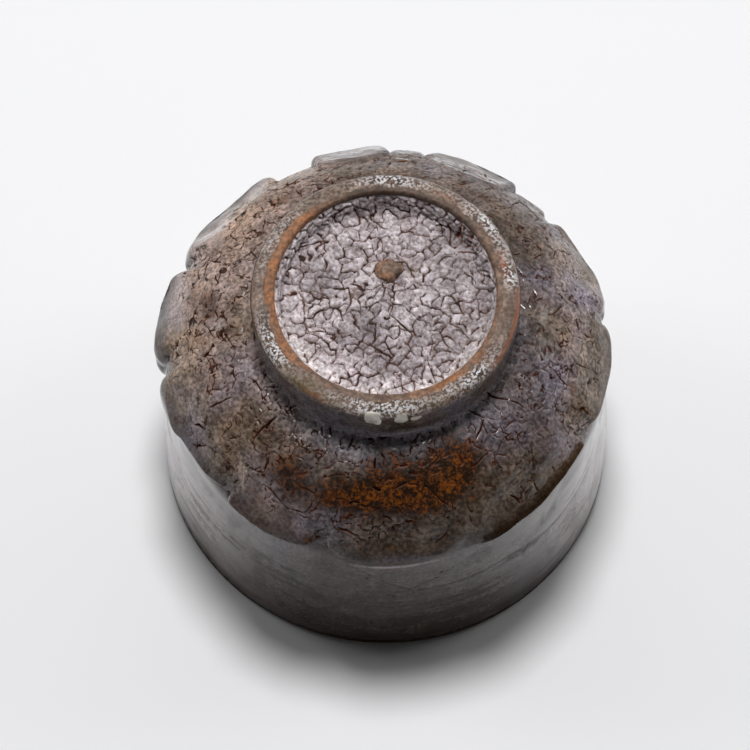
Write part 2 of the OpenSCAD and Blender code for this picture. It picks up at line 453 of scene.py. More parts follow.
def outside_curve():
    """Radius and height along the glazed outside, from the bare lip to the line at the tread."""
    z = np.arange(BARE_LIP, WAIST_Z, CURVE_STEP)
    heights, narrowing = np.array(WALL_SHARES).T
    r = LIP_R - (LIP_R - WAIST_R) * np.interp(z / WAIST_Z, heights, narrowing)
    wall = np.stack([r, z], axis=1)
    a = np.linspace(0, math.pi / 2, 900)[:-1]
    r = ROOT_R + (WAIST_R - ROOT_R) * np.cos(a) ** SHOULDER_POWER
    z = WAIST_Z + (ROOT_Z - WAIST_Z) * np.sin(a) ** SHOULDER_POWER
    dome = np.stack([r, z], axis=1)[r > ROOT_R + ROOT_POOL]
    root_middle = (ROOT_R + ROOT_POOL, ROOT_Z + ROOT_POOL)
    root = arc(root_middle, ROOT_POOL, np.linspace(1.5 * math.pi, math.pi, 90))
    edge_z = CUP_H - TREAD_ROUND
    z = np.arange(root_middle[1], edge_z, CURVE_STEP)[1:]
    share = (z - ROOT_Z - ROOT_POOL) / (edge_z - ROOT_Z - ROOT_POOL)
    side = np.stack([ROOT_R + (FOOT_R - ROOT_R) * share, z], axis=1)
    a = np.linspace(0, math.asin((TREAD_LINE_Z - edge_z) / TREAD_ROUND), 40)
    edge = arc((FOOT_R - TREAD_ROUND, edge_z), TREAD_ROUND, a)
    curve = np.concatenate([wall, dome, root, side, edge])
    even = np.arange(0, run_along(curve)[-1], CURVE_STEP)
    curve = at_runs(curve, even)
    # The hand leaves no corner on the wall, so it is eased there, and the root keeps its own
    reach = 60
    weights = np.hanning(2 * reach + 1)
    weights /= weights.sum()
    eased_curve = np.stack(
        [np.convolve(np.pad(curve[:, i], reach, "edge"), weights, "valid") for i in (0, 1)], axis=1
    )
    hold = ramp(curve[:, 1], *ROOT_HOLD)[:, None]
    return curve + (eased_curve - curve) * (1 - hold) * ramp(even, 0, 1.5)[:, None]


def outward(rows):
    """The direction square to each row, out of the clay."""
    along = np.gradient(rows, axis=0)
    along /= np.hypot(along[:, 0], along[:, 1])[:, None]
    return np.stack([along[:, 1], -along[:, 0]], axis=1)


def ring_radius(z, crest):
    """Outside radius of the ring from which a petal of that stand is carved."""
    crest_z = (WAIST_Z + RIDGE_Z) / 2
    share = np.clip((z - crest_z) / (CARVE_TOP - crest_z), 0, 1)
    top = 1 - share ** (2 / SHOULDER_POWER)
    dome = ROOT_R + (crest - ROOT_R) * top ** (SHOULDER_POWER / 2)
    low_r, low_z = RIDGE_FOOT
    side = low_r + (crest - low_r) * (z - low_z) / (crest_z - low_z)
    return np.where(z > crest_z, dome, side)


def rounded(share):
    """A quarter of a round, from 0 at 0 to 1 at 1."""
    return np.sqrt(1 - (1 - np.clip(share, 0, 1)) ** 2)


def carved_off(phi, r, z, out_r, out_z, crest):
    """How far each point can stand off the turned form before a petal's ring or flat ends it."""
    tilt = math.radians(FACET_TILT)
    low, high = np.zeros(r.shape), np.full(r.shape, MOST_STAND)
    for _ in range(10):
        t = (low + high) / 2
        x, y, h = (r + out_r * t) * np.cos(phi), (r + out_r * t) * np.sin(phi), z + out_z * t
        over_flat = (x - crest + FACET_CUT) * math.cos(tilt) + (h - RIDGE_Z) * math.sin(tilt)
        inside = (np.hypot(x, y) <= ring_radius(h, crest)) & (over_flat <= 0) & (h < CARVE_TOP)
        low, high = np.where(inside, t, low), np.where(inside, high, t)
    return low


def petal_relief(angle, r, z, out_r, out_z):
    """How far the petals stand off the turned form, and how dark and how smooth each point is."""
    relief = np.zeros(np.broadcast(angle, r).shape)
    edge, smooth = np.zeros(relief.shape), np.zeros(relief.shape)
    for start, end, hang_0, hang_1, hang_2, stand, dark, flat, rise_0, rise_1 in PETALS:
        off = apart(angle, (start + end) / 2)
        half = (end - start) / 2
        on = np.abs(off) < half + 4
        phi, rr, zz = np.radians(off[on]), r[on], z[on]
        full = carved_off(phi, rr, zz, out_r[on], out_z[on], WAIST_R + stand)
        width = RIDGE_R * math.sin(math.radians(half))
        y = rr * np.sin(phi)
        hang = np.interp(y, (-width, 0, width), (hang_0, hang_1, hang_2))
        below = zz - (RIDGE_Z - hang)
        lean = np.maximum(zz - RIDGE_Z, 0) * (1 - PETAL_TOP_SHARE) * width / (CARVE_TOP - RIDGE_Z)
        left, right = width + y - lean, width - y - lean
        depth = np.minimum(below, np.minimum(left, right))
        # Rolled along its lower edge, and rising from its ends
        shape = rounded(below / EDGE_ROLL) * rounded(left / rise_0) * rounded(right / rise_1)
        lift = full * shape * (depth > 0)
        if hang_1 > POINTED_HANG:
            # The pointed petal was pared back under a ledge
            ledge = ramp(zz, LEDGE_Z - 0.15, LEDGE_Z + 0.15)
            ledge = ledge * (1 - ramp(np.abs(y + 1.4), 5.5, 8.5))
            lift = lift * (0.62 + 0.38 * np.maximum(ledge, ramp(zz, LEDGE_Z, LEDGE_Z + 2.5)))
        relief[on] = np.maximum(relief[on], lift)
        rim = dark * (1 - ramp(below, 0.9, 2.8)) * (below > -0.1) * ramp(full, 0.15, 0.4)
        rim = rim * ramp(left, 0.3 * rise_0, 0.75 * rise_0) * ramp(right, 0, 1.0)
        edge[on] = np.maximum(edge[on], rim)
        flat_here = flat * ramp(depth, 0.2, 1.6) * ramp(full, 0.0, 0.15)
        smooth[on] = np.maximum(smooth[on], flat_here)
    return relief, edge, smooth


# ----- meshes and pieces


def spun(section, steps):
    """A closed shell from a section of (radius, height) points, spun round the axis in equal
    wedges, which are then set side by side and joined."""
    wedges = steps // WEDGE
    bm = bmesh.new()
    verts = [bm.verts.new((r * MM, 0, z * MM)) for r, z in section]
    pairs = list(zip(verts, verts[1:]))
    if section[0][0] > 0:
        pairs.append((verts[-1], verts[0]))
    edges = [bm.edges.new(p) for p in pairs]
    turn = TURN / wedges
    bmesh.ops.spin(
        bm, geom=verts + edges, cent=(0, 0, 0), axis=(0, 0, 1), angle=turn, steps=WEDGE
    )
    wedge = bm.verts[:] + bm.edges[:] + bm.faces[:]
    for i in range(1, wedges):
        copied = bmesh.ops.duplicate(bm, geom=wedge)["geom"]
        moved = [v for v in copied if isinstance(v, bmesh.types.BMVert)]
        bmesh.ops.rotate(
            bm, cent=(0, 0, 0), matrix=Matrix.Rotation(i * turn, 3, "Z"), verts=moved
        )
    bmesh.ops.remove_doubles(bm, verts=bm.verts, dist=MM / 4000)
    bmesh.ops.recalc_face_normals(bm, faces=bm.faces)
    return bm


def read(items, name, width=1, kind=np.int32):
    """One property of all of a mesh's points, edges, corners or faces, so many numbers to each."""
    flat = np.empty(len(items) * width, kind)
    items.foreach_get(name, flat)
    return flat.reshape(-1, width)


def places(mesh):
    """The mesh's points, in millimetres."""
    return read(mesh.vertices, "co", 3, np.float32).astype(float) / MM


def crisp(mesh, corners):
    """Keeps the rings at the given section points as hard edges, where a band ends."""
    p = places(mesh)
    r = np.hypot(p[:, 0], p[:, 1])
    on = np.zeros(len(p), bool)
    for corner_r, corner_z in corners:
        on |= np.hypot(r - corner_r, p[:, 2] - corner_z) < SAME
    layer = mesh.attributes.new("sharp_edge", "BOOLEAN", "EDGE")
    layer.data.foreach_set("value", on[read(mesh.edges, "vertices", 2)].all(axis=1))


def move_points(mesh, points):
    mesh.vertices.foreach_set("co", (points * MM).astype(np.float32).ravel())
    mesh.update()


def paint(mesh, name, channels):
    """Lays four masks on the mesh's points, as one attribute that its material reads."""
    layer = mesh.color_attributes.new(name, "FLOAT_COLOR", "POINT")
    full = np.stack([np.broadcast_to(c, len(mesh.vertices)) for c in channels], axis=1)
    layer.data.foreach_set("color", np.clip(full, 0, 1).astype(np.float32).ravel())


def mesh_from(bm, name, material):
    mesh = bpy.data.meshes.new(name)
    bm.to_mesh(mesh)
    bm.free()
    mesh.materials.append(material)
    return mesh


def placed(name, data):
    """An object in the scene for a mesh, a lamp or the camera."""
    thing = bpy.data.objects.new(name, data)
    bpy.context.scene.collection.objects.link(thing)
    return thing


def piece_from(bm, name, material, node):
    """A smooth-shaded piece that rides with the cup and stands for the node named."""
    mesh = mesh_from(bm, name, material)
    mesh.shade_smooth()
    piece = placed(name, mesh)
    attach(piece, "root")
    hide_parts(node)
    return piece


# ----- finishes


def feed(socket, value):
    """Links a socket to another, or sets it."""
    if isinstance(value, bpy.types.NodeSocket):
        socket.id_data.links.new(value, socket)
    elif socket.type == "RGBA":
        socket.default_value = (*value, 1)
    else:
        socket.default_value = value


def add(tree, kind, links=None, **settings):
    """A shader node with its sockets linked or set, given by name or by number."""
    node = tree.nodes.new("ShaderNode" + kind)
    for key, value in settings.items():
        setattr(node, key, value)
    for key, value in (links or {}).items():
        feed(node.inputs[key], value)
    return node


def after(links, kind, **settings):
    """A shader node in the tree that its links come from."""
    tree = next(v.id_data for v in links.values() if isinstance(v, bpy.types.NodeSocket))
    return add(tree, kind, links, **settings).outputs


def maths(operation, a, b=0.0, c=1.0, clamp=False):
    return after({0: a, 1: b, 2: c}, "Math", operation=operation, use_clamp=clamp)[0]


def times(a, b):
    return maths("MULTIPLY", a, b)


def plus(a, b, clamp=False):
    return maths("ADD", a, b, clamp=clamp)


def greatest(a, b):
    return maths("MAXIMUM", a, b)


def blend(share, a, b, kind="MIX"):
    """Mixes two colours by a share."""
    links = {"Factor": share, 6: a, 7: b}
    return after(links, "Mix", data_type="RGBA", blend_type=kind)[2]


def layered(base, *layers):
    """The base with colours laid over it one after another, each by its own share."""
    for share, colour in layers:
        base = blend(share, base, colour)
    return base


def toned(base, tone):
    """The base multiplied by a colour."""
    return blend(1.0, base, tone, "MULTIPLY")


def lit(base, light):
    """The base made lighter or darker by one value."""
    return toned(base, after({0: light, 1: light, 2: light}, "CombineColor")[0])


def step(value, low, high, out_low=0.0, out_high=1.0):
    """A smooth step of a value between two levels."""
    levels = {"Value": value, 1: low, 2: high, 3: out_low, 4: out_high}
    return after(levels, "MapRange", interpolation_type="SMOOTHSTEP")["Result"]


def eased(share, start, end):
    """Runs smoothly from one value to another while a share goes from 0 to 1."""
    return step(share, 0.0, 1.0, start, end)


def group(name, inputs, outputs):
    """An empty node group with number sockets, named, the inputs with their usual values."""
    tree = bpy.data.node_groups.new(name, "ShaderNodeTree")
    for label, value in inputs.items():
        socket = tree.interface.new_socket(label, in_out="INPUT", socket_type="NodeSocketFloat")
        socket.default_value = value
    for label in outputs:
        tree.interface.new_socket(label, in_out="OUTPUT", socket_type="NodeSocketFloat")
    return tree, tree.nodes.new("NodeGroupInput").outputs, tree.nodes.new("NodeGroupOutput")


def mottle_group():
    """Clouds of tone, a finer grain and round specks, as fired glaze or clay has them."""
    inputs = {"Size": 2.0, "Stretch": 1.0, "Specks": 0.3}
    tree, given, made = group("fired_mottle", inputs, ("Cloud", "Fine", "Speck", "Height"))
    where = add(tree, "TexCoord").outputs["Object"]
    x, y, z = after({0: where}, "SeparateXYZ")
    place = after({0: x, 1: y, 2: times(z, given["Stretch"])}, "CombineXYZ")[0]
    scale = maths("DIVIDE", 1 / MM, given["Size"])
    large = after({"Vector": place, "Scale": scale, "Detail": 5.0}, "TexNoise")[0]
    small = {"Vector": place, "Scale": times(scale, 6.0), "Detail": 3.0}
    small = after(small, "TexNoise")[0]
    dots = after({"Vector": where, "Scale": times(scale, 2.4)}, "TexVoronoi", feature="F1")
    chosen = after({0: dots["Color"]}, "SeparateColor")[0]
    chosen = maths("LESS_THAN", chosen, given["Specks"])
    feed(made.inputs["Cloud"], step(large, 0.3, 0.7))
    feed(made.inputs["Fine"], step(small, 0.3, 0.7))
    speck = times(chosen, step(dots["Distance"], 0.32, 0.12))
    feed(made.inputs["Speck"], speck)
    feed(made.inputs["Height"], plus(times(large, 0.5), small))
    return tree


def craze_group():
    """Fine crack lines between small plates, each plate with a tone of its own."""
    inputs = {"Size": 1.0, "Width": 0.06, "Wander": 0.3}
    tree, given, made = group("fine_craze", inputs, ("Line", "Tone"))
    where = add(tree, "TexCoord").outputs["Object"]
    scale = maths("DIVIDE", 1 / MM, given["Size"])
    stir = {"Vector": where, "Scale": times(scale, 1.3), "Detail": 1.0}
    stir = after(stir, "TexNoise")["Color"]
    push = after({0: stir, 1: (0.5, 0.5, 0.5)}, "VectorMath", operation="SUBTRACT")[0]
    reach = times(given["Wander"], times(given["Size"], MM))
    push = after({0: push, "Scale": reach}, "VectorMath", operation="SCALE")[0]
    place = after({0: where, 1: push}, "VectorMath", operation="ADD")[0]
    cells = {"Vector": place, "Scale": scale}
    edge = after(cells, "TexVoronoi", feature="DISTANCE_TO_EDGE")["Distance"]
    line = after({"Value": edge, 1: 0.0, 2: given["Width"], 3: 1.0, 4: 0.0}, "MapRange")
    cell = after(cells, "TexVoronoi", feature="F1")["Color"]
    feed(made.inputs["Line"], line["Result"])
    feed(made.inputs["Tone"], after({0: cell}, "SeparateColor")[1])
    return tree


MOTTLE = mottle_group()
CRAZE = craze_group()


def use(tree, made, **values):
    """A node group's outputs, with its inputs linked or set by name."""
    node = add(tree, "Group", node_tree=made)
    for label, value in values.items():
        feed(node.inputs[label], value)
    return node.outputs


def mottled(tree, size, specks, stretch=1.0):
    return use(tree, MOTTLE, Size=size, Stretch=stretch, Specks=specks)


def masks(tree, name):
    """The four masks laid on a piece's points under a name."""
    laid = add(tree, "Attribute", attribute_name=name, attribute_type="GEOMETRY").outputs
    return *after({0: laid["Color"]}, "SeparateColor"), laid["Alpha"]


def empty_tree(owner):
    """The node tree of a new material or world, with nothing in it."""
    owner.use_nodes = True
    owner.node_tree.nodes.clear()
    return owner.node_tree


def finish_of(name, ior=1.5):
    """A new material, with its tree and its surface shader."""
    material = bpy.data.materials.new(name)
    tree = empty_tree(material)
    shader = add(tree, "BsdfPrincipled", {"IOR": ior})
    add(tree, "OutputMaterial", {0: shader.outputs[0]})
    return material, tree, shader


def surface(shader, base, rough, rise, strength, relief):
    """Gives a shader its colour, its roughness and a relief finer than the mesh."""
    bump = after({"Height": rise, "Strength": strength, "Distance": relief * MM}, "Bump")[0]
    for label, value in (("Base Color", base), ("Roughness", rough), ("Normal", bump)):
        feed(shader.inputs[label], value)


def outer_finish(name, dry):
    """Grey-taupe crawled glaze: lilac where it is thick, brown where it is thin, rust in places.
    Painted shade darkens and browns the front of the wall, and painted light lightens the lit side
    of the dome, the groove under the foot and an arc under the pointed petal's ledge. In its
    cracks, along its broken edges and at the lip it is dry."""
    material, tree, shader = finish_of(name, 1.42)
    crack, rust, tone, pit = masks(tree, "marks")
    lilac, brown, smooth, crawled = masks(tree, "coat")
    warm, pool_and_painted_light, streak, painted_light = masks(tree, "tint_and_painted_light")
    mottle, spread = mottled(tree, 2.0, 0.13), mottled(tree, 1.7, 0.3)
    fine = mottled(tree, 0.5, 0.4)
    # Short strokes of crack that taper off, between plates of their own tone
    opening = step(spread["Cloud"], 0.55, 1.0, 0.002, 0.12)
    opening = times(opening, step(crawled, 0.1, 0.7, 0.05, 1.0))
    plate = use(tree, CRAZE, Size=1.5, Width=greatest(opening, 0.001), Wander=0.9)
    stroke = times(plate["Line"], step(opening, 0.015, 0.06))
    base = layered(
        blend(mottle["Cloud"], (0.034, 0.023, 0.015), (0.094, 0.070, 0.054)),
        (lilac, (0.094, 0.080, 0.094)),
        (warm, (0.118, 0.079, 0.056)),
        # Pooled glaze, pale as painted light where the groove lies in shade
        (pool_and_painted_light, (0.26, 0.235, 0.265)),
        (times(streak, 0.4), (0.030, 0.024, 0.021)),
        (brown, (0.018, 0.0085, 0.0030)),
    )
    own = times(maths("SUBTRACT", plate["Tone"], 0.5), crawled)
    light = times(eased(tone, 0.55, 1.45), maths("MULTIPLY_ADD", own, 0.35))
    # Painted light lightens the colour, up to threefold
    light = times(light, eased(painted_light, 1.0, 3.1))
    fleck = eased(fine["Cloud"], 0.62, 1.5)
    fleck = blend(step(smooth, 0.2, 1.0, 1.0, 0.65), (1, 1, 1), fleck)
    base = toned(lit(base, light), fleck)
    # Rust shows as grains on a scorched ground, more of them where the mask is strong
    grain = times(plus(fine["Cloud"], mottle["Fine"]), 0.5)
    grain = plus(grain, times(rust, 0.5))
    grain = plus(grain, times(spread["Cloud"], 0.6))
    rusty = times(step(grain, 0.92, 1.85), step(rust, 0.02, 0.3))
    speck = times(mottle["Speck"], step(smooth, 0.4, 1.0, 0.8, 0.35))
    torn = greatest(crack, stroke)
    base = layered(
        base,
        (times(step(rust, 0.08, 0.7), 0.9), (0.016, 0.0075, 0.004)),
        (rusty, (0.195, 0.056, 0.007)),
        (speck, (0.012, 0.006, 0.004)),
        (step(torn, 0.05, 0.5), (0.060, 0.018, 0.007)),
        (step(torn, 0.5, 1.0), (0.006, 0.003, 0.002)),
        (step(pit, 0.2, 0.8), (0.005, 0.003, 0.002)),
    )
    rough = plus(eased(smooth, 0.13, 0.12), times(mottle["Fine"], 0.10))
    rough = plus(rough, times(rust, 0.10))
    rough = plus(rough, times(torn, 0.5), clamp=True)
    rise = times(step(torn, 0.0, 0.8), -0.4)
    rise = plus(rise, times(fine["Height"], 0.5))
    surface(shader, base, rough, rise, eased(smooth, 0.55, 0.14), 0.10)
    if dry:
        shader.inputs["Specular IOR Level"].default_value = 0.02
        return material
    shader.inputs["Specular IOR Level"].default_value = 0.12
    shader.inputs["Coat IOR"].default_value = 1.62
    shader.inputs["Coat Roughness"].default_value = 0.06
    sheen = times(eased(streak, 1.0, 0.5), masks(tree, "shine")[0])
    feed(shader.inputs["Coat Weight"], sheen)
    return material


def well_finish():
    """Pale lilac-grey glaze in glossy plates, darker in the middle, with a painted highlight along
    its front margin and white specks painted as glints.
    """
    material, tree, shader = finish_of("pale_plated_glaze", 1.52)
    crack, rust, tone, pale = masks(tree, "marks")
    dusk, olive, smooth, _ = masks(tree, "coat")
    mottle, fine = mottled(tree, 1.6, 0.25), mottled(tree, 0.5, 0.45)
    base = layered(
        blend(mottle["Cloud"], (0.41, 0.355, 0.355), (0.72, 0.655, 0.66)),
        (dusk, (0.17, 0.145, 0.155)),
        # Paler along the front margin: a painted highlight
        (pale, (0.66, 0.61, 0.59)),
        (times(olive, 0.6), (0.20, 0.15, 0.09)),
    )
    fleck = blend(fine["Cloud"], (0.60, 0.54, 0.54), (1.22, 1.24, 1.30))
    base = toned(lit(base, eased(tone, 0.72, 1.28)), fleck)
    base = layered(
        base,
        (times(mottle["Speck"], 0.55), (0.12, 0.06, 0.035)),
        # Painted glints: small white specks
        (times(fine["Speck"], 0.35), (0.75, 0.72, 0.72)),
        (times(step(crack, 0.0, 0.55), 0.5), (0.24, 0.12, 0.07)),
        (
            step(crack, 0.35, 0.85),
            blend(rust, (0.085, 0.034, 0.018), (0.17, 0.032, 0.008)),
        ),
        (step(crack, 0.88, 1.0), (0.032, 0.011, 0.006)),
    )
    rough = eased(fine["Fine"], 0.05, 0.20)
    rough = plus(rough, times(crack, 0.45), clamp=True)
    rise = plus(fine["Height"], times(mottle["Height"], 0.6))
    surface(shader, base, rough, rise, eased(smooth, 1.0, 0.5), 0.14)
    return material


def tread_finish():
    """Thin glaze over brown clay, with rust at its edge and olive patches, and white flecks painted
    as glints in its sparkling bands.
    """
    material, tree, shader = finish_of("thin_sparkling_glaze")
    spark, rust, tone, olive = masks(tree, "marks")
    mottle, fine = mottled(tree, 1.8, 0.3), mottled(tree, 0.45, 0.5)
    base = layered(
        blend(mottle["Cloud"], (0.095, 0.056, 0.034), (0.27, 0.190, 0.145)),
        (step(tone, 0.55, 0.0), (0.10, 0.046, 0.020)),
        (olive, (0.12, 0.080, 0.032)),
    )
    fleck = blend(fine["Cloud"], (0.60, 0.55, 0.52), (1.25, 1.28, 1.30))
    painted_glint_noise = plus(times(fine["Cloud"], 0.5), times(mottle["Fine"], 0.5))
    base = layered(
        toned(base, fleck),
        (step(rust, 0.1, 0.9), (0.24, 0.065, 0.015)),
        # Painted glints: white flecks in the sparkling bands
        (times(spark, step(painted_glint_noise, 0.44, 0.62)), (0.95, 0.96, 1.0)),
        (times(mottle["Speck"], 0.8), (0.04, 0.018, 0.008)),
    )
    rough = plus(step(spark, 0.0, 0.8, 0.16, 0.06), times(mottle["Fine"], 0.1))
    rise = plus(fine["Height"], times(mottle["Height"], 0.8))
    surface(shader, base, rough, rise, step(spark, 0.0, 0.8, 0.5, 1.0), 0.16)
    return material


def clay_finish():
    """Bare stoneware that flashed orange in the kiln, browner in places, and darkened by painted
    shade at the back of the well's rim and on the nub's right front side.
    """
    material, tree, shader = finish_of("flashed_bare_clay")
    flash, dark, tone, gloss = masks(tree, "marks")
    mottle, fine = mottled(tree, 1.5, 0.35), mottled(tree, 0.5, 0.3)
    base = layered(
        blend(mottle["Cloud"], (0.095, 0.055, 0.035), (0.19, 0.130, 0.095)),
        (flash, (0.27, 0.107, 0.038)),
        # Darker where painted shade lies
        (dark, (0.055, 0.028, 0.016)),
    )
    light = times(eased(fine["Cloud"], 0.6, 1.35), eased(tone, 0.75, 1.25))
    speck = times(mottle["Speck"], 0.6)
    base = blend(speck, lit(base, light), (0.05, 0.02, 0.01))
    rough = plus(eased(gloss, 0.62, 0.25), times(fine["Fine"], 0.12))
    rise = plus(fine["Height"], times(mottle["Height"], 0.7))
    surface(shader, base, rough, rise, 0.7, 0.1)
    return material


def bead_finish():
    """Thick white glaze, a little cloudy, with a few specks."""
    material, tree, shader = finish_of("thick_white_glaze")
    mottle, fine = mottled(tree, 1.3, 0.3), mottled(tree, 0.4, 0.3)
    base = blend(mottle["Cloud"], (0.34, 0.29, 0.24), (0.60, 0.56, 0.51))
    base = blend(times(fine["Speck"], 0.35), base, (0.30, 0.20, 0.13))
    rough = eased(mottle["Fine"], 0.14, 0.3)
    surface(shader, base, rough, fine["Height"], 0.35, 0.06)
    return material


def lining_finish():
    """Smooth grey-taupe glaze inside the bowl, with a fine craze and throwing marks."""
    material, tree, shader = finish_of("smooth_grey_lining")
    mottle = mottled(tree, 3.2, 0.2, stretch=2.5)
    craze = use(tree, CRAZE, Size=2.4, Width=0.035, Wander=0.6)
    base = layered(
        blend(mottle["Cloud"], (0.15, 0.12, 0.10), (0.26, 0.23, 0.215)),
        (times(craze["Line"], 0.6), (0.06, 0.035, 0.025)),
        (times(mottle["Speck"], 0.5), (0.05, 0.025, 0.015)),
    )
    rough = eased(mottle["Fine"], 0.24, 0.4)
    surface(shader, base, rough, mottle["Height"], 0.35, 0.15)
    return material


# ----- the coats


def crazed(sheet, size, salt, share, widest, corners=0.0, taper=0.0, low=0, high=-1, stir=0.3):
    """How far each point lies in an open crack, from 0 to 1, how the plates swell between cracks,
    and the plate's own chance. Only a share of the cracks opened. They widen at corners where three
    plates meet, or taper off towards them."""
    gap, opened, own, _, corner = plates(sheet, size, salt, low, high, stir)
    wide = widest * np.clip((share - opened) / np.maximum(share, 1e-3), 0, 1) ** 0.5
    wide = wide * (0.75 + 0.5 * cloud(sheet.points, size * 0.5, salt + 9))
    wide = wide * (1 - taper * (1 - ramp(corner, 0, size * 0.55)))
    wide = wide + corners * (1 - ramp(corner, 0, size * 0.3)) * (opened < share)
    wide = np.maximum(wide, 0)
    cut = np.where(wide > 0.015, 1 - ramp(gap, wide * 0.45, wide + 0.03), 0.0)
    closed = (opened >= share) * 0.45
    swell = ramp(gap, -size * 0.05, size * 0.3) * (1 - closed) + closed
    return cut, swell, own


def drawn_lines(sheet, table):
    """How far each point lies in one of the lines of a table, from 0 to 1."""
    points = stirred(sheet.points, 1.5, 1.0, 381)
    points = stirred(points, 0.5, 0.28, 385)
    total = np.zeros(points.shape[:2])
    for turn_0, z_0, turn_1, z_1, width in table:
        ends = []
        for turn, height in ((turn_0, z_0), (turn_1, z_1)):
            r = np.interp(height, sheet.rows[:, 1], sheet.rows[:, 0])
            turn = math.radians(turn)
            ends.append(np.array((r * math.cos(turn), r * math.sin(turn), height)))
        start, line = ends[0], ends[1] - ends[0]
        share = np.clip(((points - start) @ line) / (line @ line), 0, 1)
        far = length_of(points - start - share[..., None] * line)
        wide = width * (1 - np.abs(2 * share - 1) ** 3) * 0.6
        total = np.maximum(total, (1 - ramp(far, wide * 0.4, wide + 0.1)) * (wide > 0.02))
    return total


def pits(sheet, size, salt, share, radius, low=0, high=-1):
    """Small open pits where gas came out."""
    _, _, own, far, _ = plates(sheet, size, salt, low, high)
    return np.where(own < share, 1 - ramp(far, radius * 0.5, radius), 0.0)


def lumps(points, size_a, salt_a, size_b, salt_b):
    """Small lumps of two sizes, from -1 to 1."""
    return cloud(points, size_a, salt_a) * 0.5 + cloud(points, size_b, salt_b) * 0.5


def sheet_of(rows, steps):
    """A spun face laid out as rows and steps, with each point's place, angle, radius and height."""
    out = outward(rows)
    angle = np.arange(steps) * 360 / steps + 0 * rows[:, :1]
    turn = np.radians(angle)
    r, z = rows[:, :1] + 0 * angle, rows[:, 1:] + 0 * angle
    return SimpleNamespace(
        rows=rows,
        out=out,
        run=run_along(rows),
        angle=angle,
        r=r,
        z=z,
        out_r=out[:, :1] + 0 * angle,
        out_z=out[:, 1:] + 0 * angle,
        points=round_cup(r, turn, z),
    )


def nearest_row(r, z, rows):
    """The number of the row nearest to each point of a section."""
    best = np.full(len(r), 9.0)
    row = np.zeros(len(r), int)
    for i, (row_r, row_z) in enumerate(rows):
        d = np.abs(r - row_r) + np.abs(z - row_z)
        closer = d < best
        best[closer] = d[closer]
        row[closer] = i
    return row


def work(piece, sheet, height, paints, first=0, last=None, most_z=CUP_H):
    """Raises a piece's face by the height worked out on its sheet, and lays the masks on it."""
    mesh = piece.data
    p = places(mesh)
    steps = sheet.angle.shape[1]
    r = np.hypot(p[:, 0], p[:, 1])
    column = np.round(np.arctan2(p[:, 1], p[:, 0]) / TURN * steps).astype(int) % steps
    row = first + nearest_row(r, p[:, 2], sheet.rows[first:last])
    on_face = np.hypot(r - sheet.rows[row, 0], p[:, 2] - sheet.rows[row, 1]) < SAME
    push = np.where(on_face, height[row, column], 0.0)
    rr = np.minimum(r + sheet.out[row, 0] * push, MOST_R)
    rr = np.where(r < SAME / 2, 0.0, rr)
    zz = np.minimum(p[:, 2] + sheet.out[row, 1] * push, most_z)
    move_points(mesh, round_cup(rr, column * TURN / steps, zz))
    for label, channels in paints.items():
        paint(mesh, label, [c[row, column] * on_face for c in channels])


def outer_sheet():
    """The whole outside as one sheet, and the rows where each band starts and ends. Neighbouring
    bands share a row."""
    curve = outside_curve()
    rows, spans, start = [], [], 0
    for i, (_, low, high, spacing) in enumerate(BANDS):
        shared = min(i, 1)
        rows.append(rows_between(curve, low, high, spacing)[shared:])
        first = start - shared
        start += len(rows[-1])
        spans.append((first, start))
    return sheet_of(np.concatenate(rows), AROUND), spans


